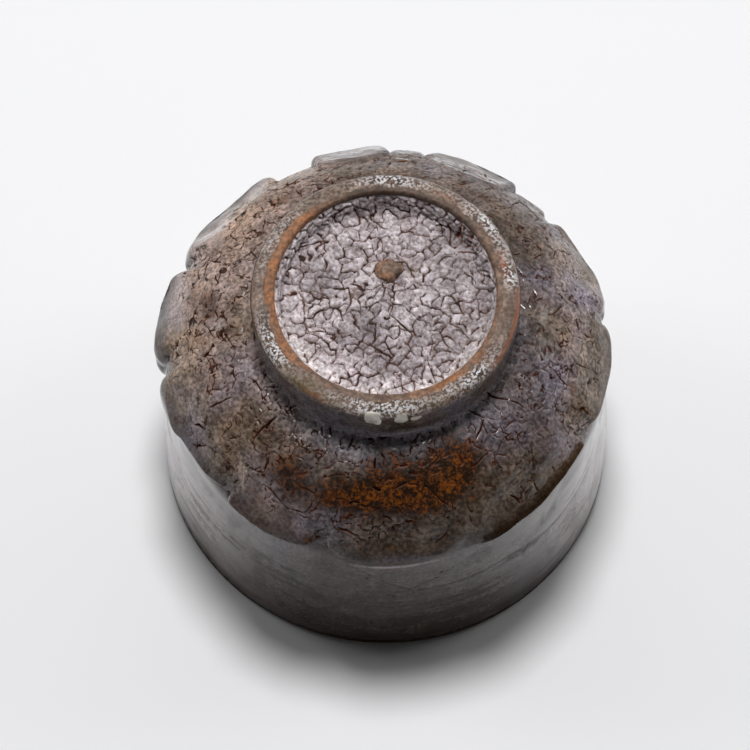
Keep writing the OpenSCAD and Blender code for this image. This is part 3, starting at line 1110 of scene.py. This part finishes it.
def worked_coat(sheet):
    """The coat outside as it was carved, dipped and fired: how high each point stands, and where it
    is carved, crawled, cracked or pitted."""
    angle, z, near = sheet.angle, sheet.z, sheet.points
    # The knife wandered a little, so each petal's outline does too
    wander_a = cloud(near, 5.0, 301) * 0.55 + cloud(near, 1.6, 302) * 0.18
    wander_z = cloud(near, 5.0, 303) * 0.45 + cloud(near, 1.6, 304) * 0.16
    relief, edge, smooth = petal_relief(
        angle + np.degrees(wander_a / WANDER_R), sheet.r, z + wander_z, sheet.out_r, sheet.out_z
    )
    wobble = clouds(near, 9.0, 311, 2) * 0.22 + cloud(near, 3.2, 315) * 0.08
    wobble = wobble * ramp(z, 1.2, 4.0) * (1 - ramp(z, 41.0, 42.5))

    # Where the coat crawled: all over the shoulder, in the gaps between petals, not on the wall
    below_foot = 1 - ramp(z, *ROOT_FADE)
    gaps = ramp(z, *GAP_FADE) * below_foot * (1 - ramp(relief, 0.12, 0.5))
    crawled = ramp(z, *SHOULDER_FADE) * below_foot * (1 - 0.8 * smooth)
    crawled = np.clip(np.maximum(crawled, gaps), 0, 1)
    side = ramp(z, *SIDE_FADE)
    lowest = int(np.argmax(sheet.rows[:, 1] > CRACKED_FROM))
    ends = {"low": lowest, "high": len(sheet.rows) - 1}
    cut, swell, own = crazed(sheet, 1.45, 401, 0.34, 0.19, taper=0.7, **ends)
    large, _, _ = crazed(sheet, 3.6, 431, 0.28, 0.19, taper=0.8, stir=0.22, **ends)
    _, small_swell, small_own = crazed(sheet, 0.72, 481, 0.35, 0.10, **ends)
    hole = pits(sheet, 1.3, 461, 0.16, 0.22, **ends) * np.clip(crawled + 0.08, 0, 1)
    open_here = (0.75 + 0.5 * clouds(near, 8.0, 395, 2)) * (1 - 0.45 * ramp(near[..., 0], 4, 16))
    crack = np.maximum(cut * crawled * open_here, large * ramp(crawled, 0.1, 0.5))
    crack = np.maximum.reduce([crack, cut * 0.5 * side, drawn_lines(sheet, LONG_CRACKS)])
    crack = np.clip(crack, 0, 1)
    knifed = drawn_lines(sheet, KNIFE_LINES)

    # Throwing lines on the wall, and broken rings where the coat is thin on them
    turned = np.stack([z * 3.0, np.cos(np.radians(angle)), np.sin(np.radians(angle))], axis=-1)
    lines = cloud(turned, 1.0, 521)
    rings = cloud(turned * np.array((0.55, 2.6, 2.6)), 1.0, 523) + 0.35 * cloud(near, 0.7, 524)
    rings = ramp(rings, 0.3, 0.75) * ramp(z, 2, 5) * (1 - ramp(z, 17, 26))
    height = (
        relief
        + wobble
        + crawled * (0.035 * swell + 0.006 * small_swell - 0.03)
        - 0.22 * crack
        - 0.22 * hole
        - 0.14 * knifed
        + (0.002 + 0.008 * crawled) * lumps(near, 0.42, 501, 0.8, 502)
    )
    height += 0.005 * lines * (1 - ramp(z, 22, 27))
    coat = SimpleNamespace(height=np.clip(height, -0.36, 1.75), edge=edge, smooth=smooth)
    coat.crawled, coat.crack, coat.hole, coat.knifed = crawled, crack, hole, knifed
    coat.own, coat.small_own, coat.lines, coat.rings, coat.side = own, small_own, lines, rings, side
    # A thin pale lilac arc under the pointed petal's ledge is a painted highlight
    coat.front, coat.under_ledge = sector(angle, 268, 46), patch(angle, z, 273, 28.6, 12, 0.4)
    return coat


def stains(sheet, coat):
    """Rust, lilac, brown, warm, pooled, streaked and plain tones of the coat, placed one by one.
    The brown and the tone carry painted shade on the front of the wall, and the pool carries
    painted light in the groove.
    """
    angle, z, near = sheet.angle, sheet.z, sheet.points
    rust = spots(angle, z, RUST_SPOTS) * (1 + 0.35 * clouds(near, 2.6, 545, 3))
    rust = rust + 0.25 * ramp(clouds(near, 6.0, 541, 2), 0.3, 0.9) * coat.crawled
    rust = np.clip(rust, 0, 1)
    rust = np.where(rust < LEAST_RUST, 0, rust)
    lilac = np.clip(0.35 + 0.9 * clouds(near, 7.0, 551, 3), 0, 1) * (1 - 0.55 * rust)
    lilac = lilac * (1 - 0.7 * (1 - ramp(z, 20, 29)) * sector(angle, 268, 60))
    lilac = np.maximum.reduce([lilac, spots(angle, z, LILAC_SPOTS), coat.under_ledge])
    # The brown band at the lip climbs higher on the front: painted shade
    lip_line = 4.2 + 1.2 * cloud(near, 6.0, 561) + 8.5 * sector(angle, 270, 38)
    # Painted shade: the lower front of the wall darker and browner
    front_painted_shade = 0.6 * coat.front * (1 - ramp(z, 6, 27))
    # Where the coat is thin and brown, with the painted shade on the front among them
    thin = [
        0.95 * coat.edge,
        0.95 * (1 - ramp(z, 0.8, lip_line)),
        0.95 * patch(angle, z, 273, 29.4, 9, 0.28),
        front_painted_shade * np.clip(0.9 + 0.5 * clouds(near, 4.0, 625, 3), 0, 1.2),
        0.6 * coat.rings,
    ]
    brown = np.maximum.reduce(thin) * (1 - 0.8 * coat.under_ledge)
    brown = np.maximum(brown, 0.85 * coat.knifed)
    warm = spots(angle, z, WARM_SPOTS) + 0.3 * clouds(near, 4.0, 581, 2)
    warm = warm + 0.25 * coat.smooth * patch(angle, z, 239, 33, 12, 5)
    warm = np.clip(warm, 0, 1) * (1 - ramp(z, 41.5, 43.0))
    drawn = stirred(near, 3.0, 1.3, 593) * np.array((1.0, 1.0, 0.3))
    streak = 0.7 * cloud(drawn, 2.2, 591) + 0.5 * cloud(drawn, 0.9, 592)
    streak = ramp(streak, 0.1, 0.8) * (1 - ramp(z, 24, 29)) * ramp(z, 3, 8)
    tone = 0.5 + 0.30 * (coat.own - 0.5) * coat.crawled + 0.22 * clouds(near, 5.0, 571, 3)
    tone = tone + 0.16 * (coat.small_own - 0.5) * coat.crawled
    # Painted shade darkens the tone on the front of the wall below the petals; throwing lines vary
    # it
    tone = tone - 0.25 * patch(angle, z, 268, 12, 44, 15) * (z < 30) + 0.22 * coat.lines * (z < 27)
    return rust, lilac, brown, warm, spots(angle, z, POOL_AND_LIGHT_SPOTS), streak, tone


def lustre(sheet, coat, rust, brown):
    """How smooth, how glossy and how dry the coat is at each point, and how much painted light
    lightens its colour.
    """
    angle, z, near = sheet.angle, sheet.z, sheet.points
    x, y, side = near[..., 0], near[..., 1], coat.side
    calm = np.clip(np.maximum(coat.smooth, (1 - coat.crawled) * 0.9), 0, 1)
    sheen = calm * (1 - 0.95 * sector(angle, 266, 40)) * (1 - brown) * (1 - 0.7 * side)
    sheen = sheen * (1 - 0.5 * coat.rings) * (1 - 0.25 * ramp(z, 21, 28) * (z < 33))
    sheen = sheen * np.clip(1.0 + 0.5 * clouds(near, 5.0, 605, 3), 0, 1)
    glint = 0.5 * coat.crawled * np.clip(0.7 + 0.8 * clouds(near, 1.6, 607, 2), 0, 1)
    sheen = np.maximum(sheen, glint * np.clip(1 - 2.5 * rust, 0, 1))
    # Dry coat gives way to glossy coat in flecks, not along a line
    fleck = lumps(near, 0.45, 631, 0.9, 632)
    dry = np.maximum(coat.edge, 1 - ramp(z, 1.2, 2.6)) * (1 + 0.6 * fleck)
    dry = np.maximum.reduce([dry, coat.crack, coat.hole])
    # Painted light and painted reflection lighten the colour: the dome to the left and the back,
    # the right petals, the sides of the wall, the front of the foot's side and a spot on the left
    # of the shoulder
    dome_light = 0.18 + 0.06 * ramp(y, -4, 16)
    dome_light = dome_light + 0.8 * ramp(-x, 4, 18) * (0.3 + 0.7 * ramp(y, -15, -1))
    dome_light = ramp(z, 30, 35) * (1 - 0.4 * ramp(z, 39.2, 40.6)) * np.clip(dome_light, 0, 1)
    petal_light = 0.6 * ramp(x, 16, 27) * ramp(z, 28, 31)
    wall_light = ramp(np.abs(x), 16, 29) * ramp(z, 3, 8) * (1 - ramp(z, 18, 27))
    foot_light = (0.15 + 0.2 * coat.front) * side * (0.7 + 0.6 * clouds(near, 2.4, 611, 2))
    painted_light = np.maximum.reduce([dome_light, petal_light, 0.6 * wall_light]) * (1 - side)
    left_light = 0.6 * patch(angle, z, 247, 33.5, 4, 2.0)
    painted_light = np.maximum.reduce([painted_light, foot_light, coat.under_ledge, left_light])
    return calm, painted_light, sheen, dry


def dry_faces(mesh, level):
    """Gives the faces of a band where the coat is dry to the second finish."""
    dry = read(mesh.color_attributes["shine"].data, "color", 4, np.float32)[:, 1]
    corners = read(mesh.loops, "vertex_index")[:, 0]
    starts = read(mesh.polygons, "loop_start")[:, 0]
    share = np.add.reduceat(dry[corners], starts) / np.diff(np.append(starts, len(corners)))
    mesh.polygons.foreach_set("material_index", (share > level).astype(np.int32))


def outer_pieces(material, dry_material):
    """The coat outside, in bands that meet row on row."""
    sheet, spans = outer_sheet()
    coat = worked_coat(sheet)
    rust, lilac, brown, warm, pool_and_painted_light, streak, tone = stains(sheet, coat)
    calm, painted_light, sheen, dry = lustre(sheet, coat, rust, brown)
    paints = {
        "marks": (coat.crack, rust, tone, coat.hole),
        "coat": (lilac, brown, calm, coat.crawled),
        "tint_and_painted_light": (warm, pool_and_painted_light, streak, painted_light),
        "shine": (sheen, dry, 0 * sheen, 0 * sheen),
    }
    for (name, *_), (first, last) in zip(BANDS, spans):
        outer = sheet.rows[first:last]
        inner = outer - COAT_T * sheet.out[first:last]
        few = np.linspace(0, len(outer) - 1, 10).astype(int)
        bm = spun(np.concatenate([outer, inner[few[::-1]]]), AROUND)
        piece = piece_from(bm, name, material, "outer_glaze")
        crisp(piece.data, (outer[0], outer[-1]))
        work(piece, sheet, coat.height, paints, first, last)
        piece.data.materials.append(dry_material)
        dry_faces(piece.data, DRY_LEVEL)


def inward_sheet(face, steps):
    """A sheet whose section runs the other way round the clay."""
    sheet = sheet_of(face, steps)
    sheet.out = -sheet.out
    return sheet


def well_section(grow):
    """The face of the well from its middle to the top of its wall, or so much deeper."""
    corner = (WELL_R - WELL_TAPER - WELL_FILLET, WELL_FLOOR_Z + WELL_FILLET)
    turn = arc_points(corner, WELL_FILLET + grow, -90, 0, 12)
    top = np.array([[WELL_R + grow, CUP_H - WELL_ROUND]])
    start = np.array([[0.0, WELL_FLOOR_Z + WELL_CROWN - grow]])
    return np.concatenate([start, turn, top])


def cut_at(points, top):
    """The part of a section below a height."""
    below = points[points[:, 1] <= top]
    after = points[len(below)]
    share = (top - below[-1, 1]) / (after[1] - below[-1, 1])
    return np.concatenate([below, [below[-1] + (after - below[-1]) * share]])


def well_coat(material):
    """The pale coat in the well: small plates that shrank apart, round-shouldered, on the floor and
    up the wall."""
    face = spaced(cut_at(well_section(0), WELL_COAT_TOP), 0.13)
    back = cut_at(well_section(WELL_COAT_T), WELL_COAT_TOP)[::-1]
    sheet = inward_sheet(face, WELL_AROUND)
    angle, r, z, near = sheet.angle, sheet.r, sheet.z, sheet.points
    x, y = near[..., 0], near[..., 1]

    def spotted(table):
        total = 0
        for share, cx, cy, size in table:
            total = total + share * np.exp(-((x - cx) ** 2 + (y - cy) ** 2) / size**2)
        return total

    cut, swell, own = crazed(sheet, 1.45, 601, 0.68, 0.15, corners=0.06, stir=0.36)
    large, _, _ = crazed(sheet, 3.4, 631, 0.34, 0.22, taper=0.5, stir=0.36)
    fine, fine_swell, fine_own = crazed(sheet, 0.7, 651, 0.4, 0.06)
    hole = pits(sheet, 2.2, 671, 0.08, 0.34)
    wall = ramp(z, WELL_FLOOR_Z + 0.9, WELL_FLOOR_Z + 1.8)
    edge = ramp(z, WELL_COAT_TOP - 0.5, WELL_COAT_TOP)
    margin = ramp(r, 11.2, 13.2) * ramp(-np.sin(np.radians(angle)), -0.2, 0.5)
    dusk, red = spotted(WELL_DUSK), spotted(WELL_RED)
    torn = ramp(red, 0.35, 0.8) * ramp(clouds(near, 0.9, 691, 2), 0.15, 0.5)
    crack = np.maximum.reduce([cut, large, 0.5 * fine, hole, torn])
    height = (
        0.24 * swell
        + 0.05 * fine_swell
        - 0.26 * crack
        + 0.10 * cloud(near, 1.1, 695)
        + (own - 0.5) * 0.16
        + (0.06 + 0.03 * dusk) * lumps(near, 0.34, 696, 0.6, 697)
        - 0.12
    )
    height = np.clip(height, -0.4, 0.2) * (1 - 0.6 * edge) - 0.1 * edge
    hollow_x, hollow_y, hollow_r = NUB_HOLLOW
    nub_here = np.exp(-(((x - hollow_x) ** 2 + (y - hollow_y) ** 2) / hollow_r**2) ** 3)
    height = height * (1 - nub_here) - 0.1 * nub_here
    tone = 0.5 + 0.5 * (own - 0.5) + 0.25 * (fine_own - 0.5) + 0.2 * clouds(near, 3.0, 698, 2)
    tone = tone + 0.12 * ramp(-x, 2, 10) - 0.25 * ramp(x, 2, 10) + 0.15 * ramp(-y, 5, 12)
    # Paler along the front margin, a painted highlight, and a little paler up the wall
    pale = np.clip(0.85 * margin + 0.25 * wall - 0.35 * dusk, 0, 1)
    red = np.clip(red + 0.4 * ramp(clouds(near, 2.4, 699, 2), 0.1, 0.7), 0, 1)
    paints = {
        "marks": (crack, red, tone, pale),
        "coat": (dusk, spotted(WELL_OLIVE), margin + wall * 0.6, hole),
    }
    bm = spun(np.concatenate([face, back]), WELL_AROUND)
    piece = piece_from(bm, "well_coat", material, "foot_well_glaze")
    work(piece, sheet, height, paints)


def flashed(angle):
    """How wide and how orange the bare band of the tread is, round the ring."""
    return np.clip(sum(share * sector(angle, *flash) for share, *flash in FLASHES), 0, 1)


def tread_coat(material):
    """The thin coat on the tread, with sparkling bands, a rusty outer edge and a wandering inner
    edge, where it sinks under the bare clay."""
    middle = (FOOT_R - TREAD_ROUND, CUP_H - TREAD_ROUND)
    top = arc_points(middle, TREAD_ROUND, 90, TREAD_LEAST_TURN, 14)
    face = spaced(np.concatenate([[[TREAD_IN_R, CUP_H - TREAD_FALL]], top]), 0.11)
    under = arc_points(middle, TREAD_ROUND - 0.3, TREAD_LEAST_TURN, 90, 8)
    section = np.concatenate([face, under, [[TREAD_IN_R, CUP_H - 0.45]]])
    sheet = inward_sheet(face, TREAD_AROUND)
    angle, r, near = sheet.angle, sheet.r, sheet.points
    starts = 14.9 + 0.95 * flashed(angle) * (0.85 + 0.6 * cloud(near, 3.0, 733))
    starts = starts + 0.4 * clouds(near, 2.0, 731, 4)
    covered = ramp(r, starts - 0.25, starts + 0.25)
    # Sparkling bands: lumpier and glossier, and painted with white glints
    spark = spots(angle, r, TREAD_SPARKS) * (0.75 + 0.5 * clouds(near, 1.4, 701, 2))
    spark = np.clip(spark, 0, 1)
    lump = lumps(near, 0.42, 711, 0.75, 712)
    height = -0.05 + 0.06 * clouds(near, 2.6, 715, 2) + (0.04 + 0.14 * spark) * lump
    height = np.clip(height, -0.25, 0.03) - 0.2 * (1 - covered)
    # Streaks that the trimming tool left round the ring
    turn = np.radians(angle)
    trimmed = np.stack([r * 2.2, np.sin(turn) * 2, np.cos(turn) * 2], axis=-1)
    tone = 0.5 + 0.5 * cloud(trimmed, 1.0, 721) + 0.2 * cloud(near, 1.5, 722)
    # Painted light: the tread lighter on its left side
    tone = tone + 0.3 * patch(angle, r, 185, 16.5, 40, 3)
    marks = (spark, spots(angle, r, TREAD_RUST), tone, spots(angle, r, TREAD_OLIVE))
    bm = spun(section, TREAD_AROUND)
    piece = piece_from(bm, "tread_coat", material, "tread_glaze")
    work(piece, sheet, height, {"marks": marks}, most_z=CUP_H - 0.005)


def bowl_points():
    """The clay's face inside the bowl, from its middle down to the lip."""
    a = np.linspace(math.pi / 2, 0, 16)
    rise = (BOWL_TOP - BOWL_Z) * np.sin(a) ** BOWL_POWER
    bowl = np.stack([BOWL_R * np.abs(np.cos(a)) ** BOWL_POWER, BOWL_Z + rise], axis=1)
    bowl[0] = (0.0, BOWL_TOP)
    return bowl


def clay_body(material):
    """The fired clay under the coats, worked finely where it shows: on the tread's bare band and
    the top of the well's wall."""
    lip = arc_points((LIP_R - 1.4, LIP_ROUND), LIP_ROUND, -90, 0, 7)
    under = rows_between(outside_curve(), 1.6, 47.0, 1.4)
    under = under - 0.5 * outward(under)
    shelf = [[FOOT_R - 0.5, 47.7], [FOOT_R - 0.62, 48.2], [FOOT_R - 1.1, 48.75], [16.3, 48.9]]
    top = [[15.9, 48.92], [15.9, CUP_H - 0.12], [WELL_R + WELL_ROUND, CUP_H - 0.07]]
    middle = (WELL_R + WELL_ROUND, CUP_H - WELL_ROUND)
    round_ = arc_points(middle, WELL_ROUND, 90, 180, 8)
    wall = [[WELL_R - 0.005, CUP_H - WELL_ROUND - 0.1], [WELL_R - 0.03, WELL_COAT_TOP - 0.12]]
    seen = spaced(np.concatenate([top[1:], round_[1:], wall]), 0.11)
    floor = cut_at(well_section(WELL_COAT_T + 0.02), WELL_COAT_TOP - 0.15)[::-1]
    rim = arc_points((LIP_IN_R + LIP_ROUND, LIP_ROUND), LIP_ROUND, 180, 270, 7)
    hidden = np.concatenate([bowl_points(), [[28.45, 1.6]], rim, lip, under, shelf, top[:1]])
    bm = spun(np.concatenate([hidden, seen, floor]), CLAY_AROUND)
    piece = piece_from(bm, "fired_clay", material, "stoneware_body")
    sheet = inward_sheet(seen, CLAY_AROUND)
    angle, r, near = sheet.angle, sheet.r, sheet.points
    height = 0.05 * lumps(near, 0.6, 801, 1.3, 802) - 0.03
    run = sheet.run[:, None]
    height = height * (ramp(run, 0, 0.3) * (1 - ramp(run, run[-1] - 0.3, run[-1])))
    flash = flashed(angle) * (0.8 + 0.4 * clouds(near, 1.8, 811, 2))
    tone = 0.5 + 0.4 * clouds(near, 1.2, 821, 2)
    work(piece, sheet, height, {"marks": (flash, spots(angle, r, CLAY_SHADE), tone, 0.35 + 0 * r)})


def nub(material):
    """The lump that the turning tool left in the well, standing up through the coat."""
    bm = bmesh.new()
    bmesh.ops.create_icosphere(bm, subdivisions=6, radius=NUB_R * MM)
    middle = Vector(NUB_AT) * MM
    bmesh.ops.scale(bm, vec=NUB_SQUASH, verts=bm.verts)
    bmesh.ops.translate(bm, vec=middle, verts=bm.verts)
    mesh = piece_from(bm, "clay_nub", material, "stoneware_body").data
    p = places(mesh)
    out = p - np.array(middle) / MM
    out /= length_of(out)[:, None]
    lump = 0.42 * cloud(p, 1.3, 901) + 0.20 * cloud(p, 0.55, 902)
    move_points(mesh, p + out * lump[:, None])
    flash = 0.45 * np.clip(0.35 + 0.6 * clouds(p, 0.9, 905, 2), 0, 1)
    # Darker in blotches, and darker on its right front side as a painted shadow
    dark = -0.2 + 0.9 * clouds(p, 1.1, 907, 2) + 0.8 * ramp(out[:, 0] - out[:, 1], 0.4, 1.3)
    dark = 0.8 * np.clip(dark, 0, 1)
    paint(mesh, "marks", (flash, dark, 0.75 + 0.3 * clouds(p, 0.8, 909, 2), 0.6 + 0 * lump))


def bead(name, node, angle, share, material):
    """A bead of thick glaze that ran flat over the foot's edge."""
    bm = bmesh.new()
    bmesh.ops.create_icosphere(bm, subdivisions=5, radius=1.0)
    radius = BEAD_R * share
    for vert in bm.verts:
        vert.co = [math.copysign(abs(c) ** BEAD_SQUARENESS, c) * radius * MM for c in vert.co]
    bmesh.ops.scale(bm, vec=BEAD_SQUASH, verts=bm.verts)
    tilt = Matrix.Rotation(BEAD_TILT, 3, "Y")
    bmesh.ops.rotate(bm, cent=(0, 0, 0), matrix=tilt, verts=bm.verts)
    out = FOOT_R - BEAD_IN + 0.3 * (1 - share)
    bmesh.ops.translate(bm, vec=(out * MM, 0, (CUP_H - BEAD_DROP) * MM), verts=bm.verts)
    turn = Matrix.Rotation(math.radians(angle), 4, "Z")
    bmesh.ops.transform(bm, matrix=turn, verts=bm.verts)
    mesh = piece_from(bm, name, material, node).data
    p = places(mesh)
    away = p - p.mean(axis=0)
    away /= length_of(away)[:, None] + 1e-9
    lump = 0.22 * cloud(p, 1.1, 921) + 0.06 * cloud(p, 0.45, 922)
    p = p + away * lump[:, None]
    p[:, 2] = np.minimum(p[:, 2], CUP_H - 0.02)
    move_points(mesh, p)


# ----- making the pieces

outer_pieces(outer_finish("crawled_grey_glaze", False), outer_finish("dry_broken_edge", True))
well_coat(well_finish())
tread_coat(tread_finish())
clay = clay_finish()
clay_body(clay)
nub(clay)
white = bead_finish()
for bead_row in BEADS:
    bead(*bead_row, white)
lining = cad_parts["inner_glaze"]
lining.data.materials.clear()
lining.data.materials.append(lining_finish())

# ----- table, light and camera


def table_finish():
    """A plain white table that keeps the cup's shadow and stays even in the distance."""
    material = bpy.data.materials.new("white_table")
    tree = empty_tree(material)
    cloth = add(tree, "BsdfDiffuse", {"Color": (0.86, 0.86, 0.875)})
    glow = add(tree, "Emission", {"Color": BACKDROP, "Strength": 1.0})
    where = add(tree, "TexCoord").outputs["Object"]
    far = after({0: where}, "VectorMath", operation="LENGTH")["Value"]
    seen, glossy = eye_rays(tree)
    share = times(step(far, 0.10, 0.34), greatest(seen, glossy))
    mixed = after({0: share, 1: cloth.outputs[0], 2: glow.outputs[0]}, "MixShader")[0]
    after({0: mixed}, "OutputMaterial")
    return material


def eye_rays(tree):
    """Whether the camera sees a point straight or through glass, and whether in a reflection."""
    path = add(tree, "LightPath").outputs
    return greatest(path["Is Camera Ray"], path["Is Transmission Ray"]), path["Is Glossy Ray"]


def table():
    bm = bmesh.new()
    bmesh.ops.create_circle(bm, cap_ends=True, radius=4.0, segments=96)
    placed("white_table", mesh_from(bm, "white_table", table_finish()))


def surroundings():
    """A pale room with its windows at the back and the sides, and dim on the side from which the
    cup is seen."""
    world = bpy.data.worlds.new("pale_room")
    bpy.context.scene.world = world
    tree = empty_tree(world)
    towards = add(tree, "TexCoord").outputs["Generated"]
    x, y, _ = after({0: towards}, "SeparateXYZ")
    side = step(maths("ABSOLUTE", x), 0.7, 1.0)
    side = times(side, step(y, -0.3, 0.1))
    front = times(step(y, 0.5, 0.0), maths("SUBTRACT", 1.0, side))
    seen, glossy = eye_rays(tree)
    room = after({0: (1, 1, 1), 1: eased(front, 0.38, 0.03)}, "Background")[0]
    dim = maths("SUBTRACT", 1.0, times(glossy, eased(front, 0.3, 0.95)))
    shown = after({0: BACKDROP, 1: dim}, "Background")[0]
    mixed = after({0: greatest(seen, glossy), 1: room, 2: shown}, "MixShader")[0]
    after({0: mixed}, "OutputWorld")


def aimed(thing, place, aim):
    """Puts a lamp or the camera at a place and turns it to its aim."""
    thing.location = place
    thing.rotation_euler = (Vector(aim) - Vector(place)).to_track_quat("-Z", "Y").to_euler()


def lamp(name, place, breadth, power):
    light = bpy.data.lights.new(name, "AREA")
    light.shape, light.size, light.size_y, light.energy = "ELLIPSE", breadth, breadth, power
    aimed(placed(name, light), place, LAMP_AIM)


def camera():
    """The photograph's view: 66 degrees down on the front of the cup."""
    data = bpy.data.cameras.new("camera")
    data.lens, data.sensor_width = LENS, SENSOR
    data.shift_x, data.shift_y = SHIFT
    data.clip_start, data.clip_end = 0.01, 20
    cam = placed("camera", data)
    lift = math.radians(VIEW_LIFT)
    back = VIEW_AWAY * Vector((0, -math.cos(lift), math.sin(lift)))
    aimed(cam, Vector(VIEW_AIM) + back, VIEW_AIM)
    bpy.context.scene.camera = cam


table()
surroundings()
for lamp_row in LAMPS:
    lamp(*lamp_row)
camera()
bpy.context.scene.view_settings.view_transform = "Standard"
